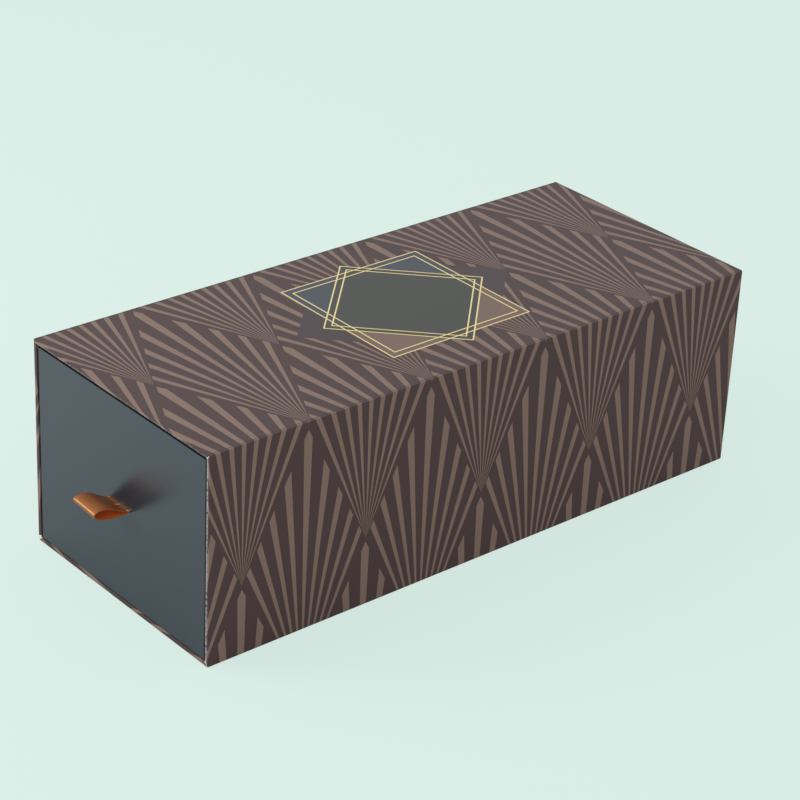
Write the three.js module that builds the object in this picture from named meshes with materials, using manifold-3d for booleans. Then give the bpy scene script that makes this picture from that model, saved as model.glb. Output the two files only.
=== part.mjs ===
// A rigid drawer box: greyboard panels taped at their joints and wrapped in paper, as a
// sleeve closed at the back and a drawer that slides out of its mouth by a strap loop.
// Millimetres, +Z up. X is the width, and the drawer opens towards -Y.
// The origin is on the floor, under the middle of the sleeve.
import * as THREE from "three";
import { mergeVertices } from "three/addons/utils/BufferGeometryUtils.js";
import Module from "manifold-3d";

const wasm = await Module();
wasm.setup();

// The box outside, measured over its paper
const boxWidth = 127;
const boxLength = 305;
const boxHeight = 100;

// Materials of the walls
const boardThickness = 1.5;
const paperThickness = 0.15;
const tapeThickness = 0.1;
const glueLine = 0.05;
const edgeRadius = 0.8;

// Paper folded over edges
const mouthTurnIn = 18;
const drawerTurnIn = 15;
const backFlap = 16;
const liningSetback = 5;
const sheetInset = 3;

// Paper stays over the joints of the boards
const tapeLeg = 12;
const tapeSetback = 2;

// Room that lets the drawer run, and how far to the right of the middle it rests
const sideClearance = 0.6;
const floorClearance = 0.05;
const topGap = 1.2;
const frontRecess = 0.3;
const backClearance = 0.6;
const drawerAside = -0.2;

// The strap that pulls the drawer
const strapWidth = 15.5;
const strapThickness = 0.4;
const strapPlyGap = 0.1;
const strapRootHeight = 47.9;
const strapRootGap = 0.4;
const tailLength = 24;
const slotClearance = 0.15;
const slotSideClearance = 0.4;

// The side view of the strap's loop: where its tip and its top lie from the root, and how long
// the curves run straight at the root below and above, at the tip and at the top
const loopTipOut = 17.75;
const loopTipRise = 4.5;
const loopTopOut = 14;
const loopTopRise = 5.95;
const loopUnder = 16.5;
const loopNeck = 3.8;
const loopChin = 3.4;
const loopCheek = 1.1;
const loopCrown = 3;
const loopShoulder = 5.6;

// The stamped frame on the top
const foilThickness = 0.05;
const foilLift = 0.02;
const foilLine = 0.65;
const foilSquareSide = 79;
const foilSquareSpacing = 3.7;
const foilDiamondDiagonal = 93;
const foilDiamondSpacing = 3.2;
const foilCentreFromBack = 151.3;

// How finely round forms are stepped, and how far a cut runs past what it cuts
const edgeSteps = 4;
const loopSteps = 14;
const cutOverrun = 1;

// Depths of the layers, counted inward from a wrapped face
const layer = paperThickness + glueLine;
const tapeDepth = layer;
const boardDepth = tapeDepth + tapeThickness + glueLine;
const turnInDepth = boardDepth + boardThickness + glueLine;
const rimDepth = turnInDepth + paperThickness;
const liningDepth = rimDepth + glueLine;
const wallDepth = liningDepth + paperThickness;

// The sleeve's faces
const frontY = -boxLength / 2;
const backY = boxLength / 2;
const baseZ = layer;
const sleeveHeight = boxHeight - baseZ;
const flapBackY = backY - layer;
const backBoardY = flapBackY - layer;
const sleeveWallEndY = backBoardY - boardThickness - glueLine - paperThickness;

// The drawer, fitted to the sleeve
const drawerWidth = boxWidth - 2 * wallDepth - 2 * sideClearance;
const drawerFrontY = frontY + frontRecess;
const drawerBackY = sleeveWallEndY - backClearance;
const drawerLength = drawerBackY - drawerFrontY;
const drawerMiddleY = (drawerBackY + drawerFrontY) / 2;
const drawerBaseZ = baseZ + wallDepth + floorClearance;
const drawerTopZ = boxHeight - rimDepth - topGap;
const drawerHeight = drawerTopZ - drawerBaseZ;
const drawerFloorZ = layer + boardThickness + glueLine;

const colours = {
  greyboard: 0x9a958c,
  tape: 0xc9bda4,
  printedPaper: 0x5a4f4c,
  plainPaper: 0x3e3a3a,
  slatePaper: 0x556068,
  strap: 0xb0703e,
  foil: 0xe8d49a,
};

const materials = {
  greyboard: new THREE.MeshStandardMaterial({ color: colours.greyboard, roughness: 0.9 }),
  tape: new THREE.MeshStandardMaterial({ color: colours.tape, roughness: 0.8 }),
  printedPaper: new THREE.MeshStandardMaterial({ color: colours.printedPaper, roughness: 0.6 }),
  plainPaper: new THREE.MeshStandardMaterial({ color: colours.plainPaper, roughness: 0.7 }),
  slatePaper: new THREE.MeshStandardMaterial({ color: colours.slatePaper, roughness: 0.6 }),
  strap: new THREE.MeshStandardMaterial({ color: colours.strap, roughness: 0.5 }),
  foil: new THREE.MeshStandardMaterial({ color: colours.foil, roughness: 0.25, metalness: 1 }),
};

// A solid for joining and cutting, from a closed three.js geometry.
function solidFrom(geometry) {
  const bare = geometry.clone();
  bare.deleteAttribute("normal");
  bare.deleteAttribute("uv");
  const merged = mergeVertices(bare);
  const vertProperties = merged.attributes.position.array;
  const triVerts = new Uint32Array(merged.index.array);
  return new wasm.Manifold(new wasm.Mesh({ numProp: 3, vertProperties, triVerts }));
}

function geometryFrom(solid) {
  const mesh = solid.getMesh();
  const geometry = new THREE.BufferGeometry();
  geometry.setAttribute("position", new THREE.BufferAttribute(mesh.vertProperties, 3));
  geometry.setIndex(new THREE.BufferAttribute(mesh.triVerts, 1));
  geometry.computeVertexNormals();
  return geometry;
}

// A rectangle about the origin, with corners rounded where there is a radius.
function rectangle(width, height, radius) {
  const x = width / 2;
  const y = height / 2;
  if (radius <= 0) {
    const corners = [[-x, -y], [x, -y], [x, y], [-x, y]];
    return new THREE.Shape(corners.map(([px, py]) => new THREE.Vector2(px, py)));
  }
  const shape = new THREE.Shape();
  shape.absarc(x - radius, y - radius, radius, 0, Math.PI / 2, false);
  shape.absarc(radius - x, y - radius, radius, Math.PI / 2, Math.PI, false);
  shape.absarc(radius - x, radius - y, radius, Math.PI, Math.PI * 1.5, false);
  shape.absarc(x - radius, radius - y, radius, Math.PI * 1.5, Math.PI * 2, false);
  return shape;
}

function extruded(shape, depth) {
  return new THREE.ExtrudeGeometry(shape, { depth, bevelEnabled: false, curveSegments: edgeSteps });
}

// Turns an extrusion one unit deep into one whose outline (x, y) lies along the first two
// directions and whose ends lie at two places on the third.
function laid(geometry, right, up, start, end) {
  const placed = new THREE.Matrix4().makeBasis(right, up, end.clone().sub(start));
  return geometry.applyMatrix4(placed.setPosition(start));
}

const alongX = new THREE.Vector3(1, 0, 0);
const alongY = new THREE.Vector3(0, 1, 0);
const alongZ = new THREE.Vector3(0, 0, 1);

// A block that runs along Y, with its long edges rounded.
function blockAlongY({ width, height, radius = 0, low, high, middleZ }) {
  const outline = extruded(rectangle(width, height, radius), 1);
  const start = new THREE.Vector3(0, high, middleZ);
  const end = new THREE.Vector3(0, low, middleZ);
  return solidFrom(laid(outline, alongX, alongZ, start, end));
}

// A block that stands along Z, with its upright edges rounded.
function blockAlongZ({ width, length, radius = 0, low, high }) {
  const outline = extruded(rectangle(width, length, radius), 1);
  const start = new THREE.Vector3(0, 0, low);
  const end = new THREE.Vector3(0, 0, high);
  return solidFrom(laid(outline, alongX, alongY, start, end));
}

function boxSolid({ x, y, z }) {
  const geometry = new THREE.BoxGeometry(x[1] - x[0], y[1] - y[0], z[1] - z[0]);
  geometry.translate((x[0] + x[1]) / 2, (y[0] + y[1]) / 2, (z[0] + z[1]) / 2);
  return solidFrom(geometry);
}

function named(name, geometry, material) {
  const mesh = new THREE.Mesh(geometry, material);
  mesh.name = name;
  return mesh;
}

// A flat panel, given by where its faces lie.
function panel(name, material, { x, y, z }) {
  const geometry = new THREE.BoxGeometry(x[1] - x[0], y[1] - y[0], z[1] - z[0]);
  const mesh = named(name, geometry, material);
  mesh.position.set((x[0] + x[1]) / 2, (y[0] + y[1]) / 2, (z[0] + z[1]) / 2);
  return mesh;
}

// An angle of paper tape, bent round a corner at the origin: two legs, towards +X and +Y.
function tapeAngle(length) {
  const bend = edgeRadius - tapeDepth;
  const shape = new THREE.Shape();
  shape.moveTo(tapeLeg, 0);
  shape.lineTo(tapeLeg, tapeThickness);
  shape.absarc(bend, bend, bend - tapeThickness, Math.PI * 1.5, Math.PI, true);
  shape.lineTo(tapeThickness, tapeLeg);
  shape.lineTo(0, tapeLeg);
  shape.absarc(bend, bend, bend, Math.PI, Math.PI * 1.5, false);
  shape.closePath();
  return extruded(shape, length);
}

// One outline of the sleeve, drawn in by a depth from its wrapped faces.
function sleeveLayer(depth, low, high) {
  return blockAlongY({
    width: boxWidth - 2 * depth,
    height: sleeveHeight - 2 * depth,
    radius: edgeRadius - depth,
    low,
    high,
    middleZ: baseZ + sleeveHeight / 2,
  });
}

function sleeveWrap() {
  const turnInEnd = frontY + mouthTurnIn;
  const flapInside = flapBackY - paperThickness;
  const sheet = sleeveLayer(0, frontY, flapBackY);
  const rimInside = frontY + paperThickness;
  const behindTurnIn = sleeveLayer(paperThickness, rimInside, turnInEnd + cutOverrun);
  const turnIn = sleeveLayer(turnInDepth, frontY, turnInEnd);
  const body = sleeveLayer(paperThickness, turnInEnd, flapInside);
  const mouth = sleeveLayer(rimDepth, frontY - cutOverrun, turnInEnd + cutOverrun);
  const backOpening = sleeveLayer(backFlap, flapInside - cutOverrun, flapBackY + cutOverrun);
  const hollow = behindTurnIn.subtract(turnIn).add(body);
  return geometryFrom(sheet.subtract(hollow).subtract(mouth).subtract(backOpening));
}

function sleeveLining() {
  const start = frontY + liningSetback;
  const outside = sleeveLayer(liningDepth, start, sleeveWallEndY + paperThickness);
  const inside = sleeveLayer(wallDepth, start - cutOverrun, sleeveWallEndY);
  return geometryFrom(outside.subtract(inside));
}

// The five boards of the sleeve: top and bottom across the whole width, with the long edges
// rounded, the sides between them, and the back inside the four.
function sleeveBoards() {
  const outerX = boxWidth / 2 - boardDepth;
  const innerX = outerX - boardThickness;
  const lowZ = baseZ + boardDepth;
  const highZ = boxHeight - boardDepth;
  const long = [frontY + layer, backBoardY];
  const across = [-boxWidth / 2, boxWidth / 2];
  const upright = [lowZ + boardThickness + glueLine, highZ - boardThickness - glueLine];
  const board = materials.greyboard;
  const whole = sleeveLayer(boardDepth, long[0], long[1]);
  const cutLong = [long[0] - cutOverrun, long[1] + cutOverrun];
  const top = boxSolid({ x: across, y: cutLong, z: [highZ - boardThickness, boxHeight] });
  const bottom = boxSolid({ x: across, y: cutLong, z: [0, lowZ + boardThickness] });
  return [
    named("sleeve_top_board", geometryFrom(whole.intersect(top)), board),
    named("sleeve_bottom_board", geometryFrom(whole.intersect(bottom)), board),
    panel("sleeve_left_board", board, { x: [-outerX, -innerX], y: long, z: upright }),
    panel("sleeve_right_board", board, { x: [innerX, outerX], y: long, z: upright }),
    panel("sleeve_back_board", board, {
      x: [glueLine - innerX, innerX - glueLine],
      y: [backBoardY - boardThickness, backBoardY],
      z: upright,
    }),
  ];
}

// Four tapes, one over each long joint of the sleeve's boards.
function sleeveEdgeTapes() {
  const length = backBoardY - frontY - layer - 2 * tapeSetback;
  const x = boxWidth / 2 - tapeDepth;
  const low = baseZ + tapeDepth;
  const high = boxHeight - tapeDepth;
  const corners = [
    { name: "bottom_left", x: -x, z: low, turn: 0 },
    { name: "bottom_right", x, z: low, turn: Math.PI / 2 },
    { name: "top_right", x, z: high, turn: Math.PI },
    { name: "top_left", x: -x, z: high, turn: -Math.PI / 2 },
  ];
  return corners.map((corner) => {
    const geometry = tapeAngle(length).rotateZ(corner.turn).rotateX(Math.PI / 2);
    const tape = named(`sleeve_edge_tape_${corner.name}`, geometry, materials.tape);
    tape.position.set(corner.x, backBoardY - tapeSetback, corner.z);
    return tape;
  });
}

function sleeveSheets() {
  const x = boxWidth / 2 - sheetInset;
  return [
    panel("sleeve_back_sheet", materials.printedPaper, {
      x: [-x, x],
      y: [backY - paperThickness, backY],
      z: [baseZ + sheetInset, boxHeight - sheetInset],
    }),
    panel("sleeve_base_sheet", materials.printedPaper, {
      x: [-x, x],
      y: [frontY + sheetInset, backY - sheetInset],
      z: [0, paperThickness],
    }),
  ];
}

// One line of the stamped frame: a square ring about the origin.
function squareRing(side) {
  const outside = blockAlongZ({ width: side, length: side, low: 0, high: foilThickness });
  const hole = side - 2 * foilLine;
  const cut = { low: -cutOverrun, high: foilThickness + cutOverrun };
  return outside.subtract(blockAlongZ({ width: hole, length: hole, ...cut }));
}

// A double lined square with a double lined diamond across it.
function foilFrame() {
  const square = squareRing(foilSquareSide).add(squareRing(foilSquareSide - 2 * foilSquareSpacing));
  const side = foilDiamondDiagonal / Math.SQRT2;
  const rings = [squareRing(side), squareRing(side - 2 * foilDiamondSpacing)];
  const diamond = rings.map((ring) => solidFrom(geometryFrom(ring).rotateZ(Math.PI / 4)));
  const frame = diamond.reduce((joined, ring) => joined.add(ring), square);
  const mesh = named("gold_foil_frame", geometryFrom(frame), materials.foil);
  mesh.position.set(0, backY - foilCentreFromBack, boxHeight + foilLift);
  return mesh;
}

// One outline of the drawer, drawn in by a depth from its wrapped faces.
function drawerLayer(depth, low, high) {
  return blockAlongZ({
    width: drawerWidth - 2 * depth,
    length: drawerLength - 2 * depth,
    radius: edgeRadius - depth,
    low,
    high,
  });
}

const slotHeight = 2 * strapThickness + strapPlyGap + 2 * slotClearance;
const slotWidth = strapWidth + 2 * slotSideClearance;
const rootZ = strapRootHeight - drawerBaseZ;

// The slot for the strap, between two depths behind the drawer's front face.
function slotCut(near, far) {
  const face = -drawerLength / 2;
  return boxSolid({
    x: [-slotWidth / 2, slotWidth / 2],
    y: [face + near, face + far],
    z: [rootZ - slotHeight / 2, rootZ + slotHeight / 2],
  });
}

function drawerWrap() {
  const turnInEnd = drawerHeight - drawerTurnIn;
  const sheet = drawerLayer(0, 0, drawerHeight);
  const body = drawerLayer(paperThickness, paperThickness, turnInEnd);
  const rimInside = drawerHeight - paperThickness;
  const behindTurnIn = drawerLayer(paperThickness, turnInEnd - cutOverrun, rimInside);
  const turnIn = drawerLayer(turnInDepth, turnInEnd, drawerHeight);
  const mouth = drawerLayer(rimDepth, turnInEnd - cutOverrun, drawerHeight + cutOverrun);
  const hollow = behindTurnIn.subtract(turnIn).add(body);
  const slot = slotCut(-cutOverrun, boardDepth);
  return geometryFrom(sheet.subtract(hollow).subtract(mouth).subtract(slot));
}

function drawerWallLining() {
  const low = drawerFloorZ;
  const high = drawerHeight - liningSetback;
  const outside = drawerLayer(liningDepth, low, high);
  return geometryFrom(outside.subtract(drawerLayer(wallDepth, low - cutOverrun, high + cutOverrun)));
}

// The front board: the slot, and a recess behind it that takes both tails.
function frontBoard(x, z) {
  const face = -drawerLength / 2;
  const board = boxSolid({ x, y: [face + boardDepth, face + boardDepth + boardThickness], z });
  const back = face + boardDepth + boardThickness;
  const reach = tailLength + slotHeight / 2 + slotSideClearance;
  const recess = boxSolid({
    x: [-slotWidth / 2, slotWidth / 2],
    y: [back - strapThickness - glueLine, back + cutOverrun],
    z: [rootZ - reach, rootZ + reach],
  });
  const cut = board.subtract(recess).subtract(slotCut(0, turnInDepth + cutOverrun));
  return named("drawer_front_board", geometryFrom(cut), materials.greyboard);
}

function drawerBoards() {
  const outerX = drawerWidth / 2 - boardDepth;
  const innerX = outerX - boardThickness;
  const outerY = drawerLength / 2 - boardDepth;
  const innerY = outerY - boardThickness;
  const x = innerX - glueLine;
  const y = innerY - glueLine;
  const low = layer;
  const upright = [low, drawerHeight - layer];
  const board = materials.greyboard;
  const whole = drawerLayer(boardDepth, upright[0], upright[1]);
  const long = [-drawerLength / 2, drawerLength / 2];
  const tall = [0, drawerHeight];
  const left = boxSolid({ x: [-drawerWidth / 2, -innerX], y: long, z: tall });
  const right = boxSolid({ x: [innerX, drawerWidth / 2], y: long, z: tall });
  return [
    named("drawer_left_board", geometryFrom(whole.intersect(left)), board),
    named("drawer_right_board", geometryFrom(whole.intersect(right)), board),
    panel("drawer_back_board", board, { x: [-x, x], y: [innerY, outerY], z: upright }),
    panel("drawer_base_board", board, { x: [-x, x], y: [-y, y], z: [low, low + boardThickness] }),
    frontBoard([-x, x], upright),
  ];
}

// Four tapes, one round each upright corner of the drawer.
function drawerCornerTapes() {
  const length = drawerHeight - 2 * layer - 2 * tapeSetback;
  const x = drawerWidth / 2 - tapeDepth;
  const y = drawerLength / 2 - tapeDepth;
  const corners = [
    { name: "front_left", x: -x, y: -y, turn: 0 },
    { name: "front_right", x, y: -y, turn: Math.PI / 2 },
    { name: "back_right", x, y, turn: Math.PI },
    { name: "back_left", x: -x, y, turn: -Math.PI / 2 },
  ];
  return corners.map((corner) => {
    const geometry = tapeAngle(length).rotateZ(corner.turn);
    const tape = named(`drawer_corner_tape_${corner.name}`, geometry, materials.tape);
    tape.position.set(corner.x, corner.y, layer + tapeSetback);
    return tape;
  });
}

function drawerFloorLining() {
  const x = drawerWidth / 2 - wallDepth - glueLine;
  const y = drawerLength / 2 - wallDepth - glueLine;
  const z = [drawerFloorZ, drawerFloorZ + paperThickness];
  return panel("drawer_floor_lining", materials.slatePaper, { x: [-x, x], y: [-y, y], z });
}

// Turns an outline drawn as (outward, up) into a solid across the strap's width.
function acrossStrap(shape) {
  const outward = alongY.clone().negate();
  const start = new THREE.Vector3(strapWidth / 2, 0, 0);
  return laid(extruded(shape, 1), outward, alongZ, start, start.clone().negate());
}

// One tail of the strap: through the slot, then flat against the back of the front board.
// side is 1 for the upper tail and -1 for the lower.
function strapTail(name, side) {
  const through = boardDepth + boardThickness - strapThickness;
  const low = (side * strapPlyGap) / 2;
  const high = low + side * strapThickness;
  const end = low + side * (tailLength + strapThickness);
  const corners = [
    [0, low],
    [-through - strapThickness, low],
    [-through - strapThickness, end],
    [-through, end],
    [-through, high],
    [0, high],
  ];
  const shape = new THREE.Shape(corners.map(([out, up]) => new THREE.Vector2(out, up)));
  const tail = named(name, acrossStrap(shape), materials.strap);
  tail.position.set(0, -drawerLength / 2, rootZ);
  return tail;
}

// The middle line of the loop's strap, from its lower root round the tip to its upper root.
function loopLine() {
  const rootRise = (strapPlyGap + strapThickness) / 2;
  const lowerRoot = new THREE.Vector2(strapRootGap, -rootRise);
  const upperRoot = new THREE.Vector2(strapRootGap, rootRise);
  const tip = new THREE.Vector2(loopTipOut, loopTipRise);
  const top = new THREE.Vector2(loopTopOut, loopTopRise);
  const under = new THREE.Vector2(loopUnder, -rootRise);
  const chin = new THREE.Vector2(tip.x, tip.y - loopChin);
  const cheek = new THREE.Vector2(tip.x, tip.y + loopCheek);
  const crown = new THREE.Vector2(top.x + loopCrown, top.y);
  const shoulder = new THREE.Vector2(top.x - loopShoulder, top.y);
  const neck = new THREE.Vector2(loopNeck, rootRise);
  const line = new THREE.CurvePath();
  line.add(new THREE.CubicBezierCurve(lowerRoot, under, chin, tip));
  line.add(new THREE.CubicBezierCurve(tip, cheek, crown, top));
  line.add(new THREE.CubicBezierCurve(top, shoulder, neck, upperRoot));
  return line.getPoints(loopSteps);
}

// The outline of a strip that runs along a line of points, half its thickness to each side.
function stripOutline(points, thickness) {
  const sides = points.map((point, i) => {
    const before = points[Math.max(i - 1, 0)];
    const after = points[Math.min(i + 1, points.length - 1)];
    const along = after.clone().sub(before).normalize();
    const aside = new THREE.Vector2(along.y, -along.x).multiplyScalar(thickness / 2);
    return [point.clone().add(aside), point.clone().sub(aside)];
  });
  const right = sides.map((pair) => pair[0]);
  const left = sides.map((pair) => pair[1]).reverse();
  return new THREE.Shape([...right, ...left]);
}

function pullLoop() {
  const outline = stripOutline(loopLine(), strapThickness);
  const loop = named("pull_loop", acrossStrap(outline), materials.strap);
  const pull = new THREE.Group();
  pull.add(loop);
  pull.position.set(0, -drawerLength / 2, rootZ);
  return pull;
}

function sleeve() {
  const group = new THREE.Group();
  group.add(...sleeveBoards(), ...sleeveEdgeTapes());
  group.add(named("sleeve_wrap", sleeveWrap(), materials.printedPaper));
  group.add(...sleeveSheets());
  group.add(named("sleeve_lining", sleeveLining(), materials.plainPaper));
  group.add(foilFrame());
  return group;
}

function drawer() {
  const group = new THREE.Group();
  group.add(...drawerBoards(), ...drawerCornerTapes());
  group.add(named("drawer_wrap", drawerWrap(), materials.slatePaper));
  group.add(named("drawer_wall_lining", drawerWallLining(), materials.slatePaper));
  group.add(drawerFloorLining());
  group.add(strapTail("pull_upper_tail", 1), strapTail("pull_lower_tail", -1));
  group.add(pullLoop());
  group.position.set(drawerAside, drawerMiddleY, drawerBaseZ);
  return group;
}

const drawerBox = new THREE.Group();
drawerBox.add(sleeve(), drawer());

export default drawerBox;
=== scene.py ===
import math

import bmesh
import bpy
from mathutils import Color, Matrix, Vector


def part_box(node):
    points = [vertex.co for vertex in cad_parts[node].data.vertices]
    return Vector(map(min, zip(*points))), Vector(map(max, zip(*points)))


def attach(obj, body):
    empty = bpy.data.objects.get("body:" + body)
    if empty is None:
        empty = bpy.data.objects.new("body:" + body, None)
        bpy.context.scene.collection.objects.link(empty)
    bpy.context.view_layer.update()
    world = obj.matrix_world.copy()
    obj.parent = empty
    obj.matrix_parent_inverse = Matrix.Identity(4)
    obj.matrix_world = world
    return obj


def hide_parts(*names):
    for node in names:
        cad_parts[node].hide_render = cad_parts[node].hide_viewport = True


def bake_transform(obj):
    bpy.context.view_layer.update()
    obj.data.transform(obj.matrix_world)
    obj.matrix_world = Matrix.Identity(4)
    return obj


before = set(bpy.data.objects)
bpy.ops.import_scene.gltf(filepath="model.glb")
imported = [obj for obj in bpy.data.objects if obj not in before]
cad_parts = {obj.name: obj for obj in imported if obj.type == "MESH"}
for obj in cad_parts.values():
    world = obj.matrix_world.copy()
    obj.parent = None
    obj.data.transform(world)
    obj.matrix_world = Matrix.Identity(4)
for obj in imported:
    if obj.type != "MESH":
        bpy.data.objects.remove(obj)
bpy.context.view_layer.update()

MM = 0.001
HALF = 0.5
QUARTER_TURN = math.pi / 2

# The camera, as solved from the box's corners in the photograph, which is 800 pixels wide
CAMERA_AZIMUTH = math.radians(48.753)
CAMERA_ELEVATION = math.radians(27.689)
CAMERA_ROLL = math.radians(2.806)
CAMERA_DISTANCE = 1157.139 * MM
CAMERA_ASIDE = 0.891 * MM
CAMERA_RAISED = 1.005 * MM
CAMERA_TARGET = Vector((0, 0, 50 * MM))
FOCAL_PIXELS = 2549.178
PICTURE_PIXELS = 800
SENSOR_WIDTH = 36

# The stage and its light. A lamp has its power in watts, and its side and place in metres.
FLOOR_SIDE = 24
FLOOR_DROP = 0.1 * MM
KEY_POWER = 3.6
KEY_SIDE = 0.5
KEY_PLACE = Vector((-0.50, -0.65, 0.52))
FILL_POWER = 0.75
FILL_SIDE = 0.8
FILL_PLACE = Vector((0.80, 0.75, 0.45))
SOFT_LIGHT = 0.62
WHITE = "#FFFFFF"
BACKDROP_COLOUR = "#DAEDE7"
BACKDROP_FLAT_SHARE = 0.8
BACKDROP_GLOW = 1.06
ROOM_COLOUR = "#ECEFF4"
BOUNCE_COLOUR = "#DEDCDA"

# Paper on board. An edge is a long one of the box, with paper round it, and a fold is where the paper
# is turned over an end.
PAPER = 0.15 * MM
EDGE_RADIUS = 0.5 * MM
EDGE_STEPS = 4
FOLD_RADIUS = 0.25 * MM
FOLD_STEPS = 2
RIM_DEPTH = 2.05 * MM
MOUTH_TURN_IN = 18 * MM
BACK_FLAP = 16 * MM
DRAWER_TURN_IN = 15 * MM

# The print's inks, the painted shade and painted highlight colours on its folds, and the white core that
# shows where ink is missing. The label's fields are in the order in which they are printed.
GROUND_INK = "#513F3E"
RAY_INK = "#8B7568"
LABEL_INKS = {"wing": "#504546", "right": "#806C60", "left": "#4F565D", "diamond": "#4D4F4A"}
# Painted shade: a dark line along the top's long folds
FOLD_SHADE_COLOUR = "#2E2322"
# Painted highlight: a pale line along the top's long folds, and patches on the mouth's inner fold
FOLD_HIGHLIGHT_COLOUR = "#B8B2AE"
BARE_PAPER = "#F2F0EC"

# The mitres at the mouth's corners, where the folded paper parts and shows its white core. Each row has
# the corner's place round the box, the way from it along the rim, and how wide the paper is bare at the
# rim's outer edge and at its inner edge.
MITRES = [
    (0 * MM, 1, 0 * MM, 0.25 * MM),
    (127 * MM, -1, 0 * MM, 0.35 * MM),
    (127 * MM, 1, 0 * MM, 0.55 * MM),
    (226.8 * MM, -1, 0.1 * MM, 0.7 * MM),
    (226.8 * MM, 1, 0 * MM, 0.4 * MM),
    (353.8 * MM, -1, 0.5 * MM, 0.6 * MM),
    (-99.8 * MM, 1, 2.3 * MM, 1 * MM),
]

# Where a painted highlight lies on the fold at the mouth's inner edge: from and to round the box, and how
# strong. It is painted in patches, between two values of a noise, and reaches a little way onto the rim.
# Painted highlights on the mouth's inner fold, strong on the right side and faint on the top
FOLD_HIGHLIGHT_EDGES = [(2 * MM, 125 * MM, 0.25), (129 * MM, 225 * MM, 1.0)]
HIGHLIGHT_REACH = 1.4 * MM
HIGHLIGHT_PATCH_STARTS = 0.38
HIGHLIGHT_PATCH_FULL = 0.55

# Along the long folds at both sides of the top lie a dark line of painted shade and a pale line of
# painted highlight. Each row has the line's distance from the fold, its width, its colour, and how much
# of that colour shows.
FOLD_LINES = [
    (1 * MM, 0.6 * MM, FOLD_SHADE_COLOUR, 0.55),
    (0.1 * MM, 0.8 * MM, FOLD_HIGHLIGHT_COLOUR, 0.06),
]

# The strap, its line drawn as (outward, up) from its root on the drawer's face. Its loop hangs a little
# slacker than the CAD loop, whose rounder form holds the opening that is tested there. The loop's tip and
# top lie from the root, and the other sizes of the loop say how far each curve runs straight on.
STRAP_WIDTH = 15.5 * MM
STRAP_THICKNESS = 0.4 * MM
STRAP_EDGE = 0.1 * MM
STRAP_EDGE_STEPS = 2
STRAP_EDGE_ANGLE = math.radians(60)
STRAP_ROOT_HEIGHT = 47.9 * MM
STRAP_PLY_GAP = 0.1 * MM
LOOP_TIP_OUT = 17.75 * MM
LOOP_TIP_RISE = 4.5 * MM
LOOP_TOP_OUT = 14 * MM
LOOP_TOP_RISE = 5.8 * MM
LOOP_UNDER = 15 * MM
LOOP_NECK = 3.8 * MM
LOOP_CHIN = 2.1 * MM
LOOP_CHEEK = 0.5 * MM
LOOP_CROWN = 1.8 * MM
LOOP_SHOULDER = 5.6 * MM
TAIL_LENGTH = 24 * MM
TAIL_BEND = 0.3 * MM
SLOT_WIDTH = 16.3 * MM
SLOT_HEIGHT = 1.2 * MM
SLOT_CUTTER_DEPTH = 2.4 * MM
BOARD_BACK_DEPTH = 1.85 * MM
STRAP_LEAN = 0.55 * MM
STRAP_CUTS = 11
LOOP_STEPS = 20
BEND_STEPS = 4
TAIL_STEPS = 12

# The strap's outside, inside and cut edge. Each row has the material's name, its colour and the paler
# one that it turns to in places, how much of it mirrors as pearl does, its roughness, and its IOR.
LEATHERS = [
    ("tan_leather_pearl_topcoat", "#934A22", "#A1582C", 0.33, 0.35, 2.1),
    ("rust_leather_flesh_side", "#E08040", "#E48A4C", 0, 0.8, 1.5),
    ("tan_leather_cut_edge", "#A8652F", "#B47540", 0, 0.6, 1.5),
]
PEARL_TINT = "#FFEEA8"

# Painted highlights on short creases near the strap's root, which its mesh does not have. Each row has
# the place across the strap from its middle, the crease's width, and where it starts and ends outward
# from the drawer's face.
STRAP_CREASE_HIGHLIGHTS = [
    (0.4 * MM, 0.7 * MM, 0.3 * MM, 3 * MM),
    (7 * MM, 1.1 * MM, 0.3 * MM, 1 * MM),
    (-7.4 * MM, 0.9 * MM, 0.1 * MM, 0.9 * MM),
]
# Painted highlight colour on the strap's short creases near its root
CREASE_HIGHLIGHT_COLOUR = "#EBC8A4"

# The fan print, measured on the unrolled paper. Along is the distance from the mouth, and round is the
# distance across the top from its left edge, which goes on down the right side. The top's middle line is
# where the label and the two scored folds are measured from.
FAN_START_ALONG = 16.9 * MM
FAN_START_ROUND = 64.65 * MM
FAN_HALF_WIDTH = 32.74 * MM
FAN_ROW = 64.2 * MM
TOP_MIDDLE_ROUND = 63.5 * MM
RAY_PITCH = math.radians(5.36)
RAY_PITCH_GROWTH_SHARE = 0.0165
RAY_HALF_WIDTH = math.radians(1.02)
LAST_RAY = 4.5
CUT_SHARE_AT_TIP = 0.0156
CUT_SHARE_TAPER = 0.0109

# The stamped label in the middle of the top
LABEL_CENTRE_ALONG = 153.7 * MM
LABEL_SQUARE_HALF = 39.5 * MM
LABEL_DIAMOND_HALF = 46.2 * MM
LABEL_WING_HALF = 61 * MM

# Sizes of the materials' own patterns. Tooth and grain are drawn coarser than they are, to show.
PAPER_TOOTH = 0.3 * MM
TOOTH_DEPTH = 0.02 * MM
CLOUD_LENGTH = 6 * MM
HIGHLIGHT_PATCH_LENGTH = 1.5 * MM
FLECK_SPACING = 1.4 * MM
FLECK_SIZE_SHARE = 0.16
FIBRE_LENGTH = 0.5 * MM
KRAFT_FIBRE_STRETCH = 5
HIDE_LENGTH = 4 * MM
GRAIN_SPACING = 0.6 * MM
GRAIN_DEPTH = 0.08 * MM

# How many layers of finer noise each pattern has
FILM_TOOTH_LAYERS = 2
PAPER_TOOTH_LAYERS = 3
SHEET_CLOUD_LAYERS = 3
BOARD_CLOUD_LAYERS = 4
HIGHLIGHT_PATCH_LAYERS = 4
FIBRE_LAYERS = 5
HIDE_LAYERS = 3

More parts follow.
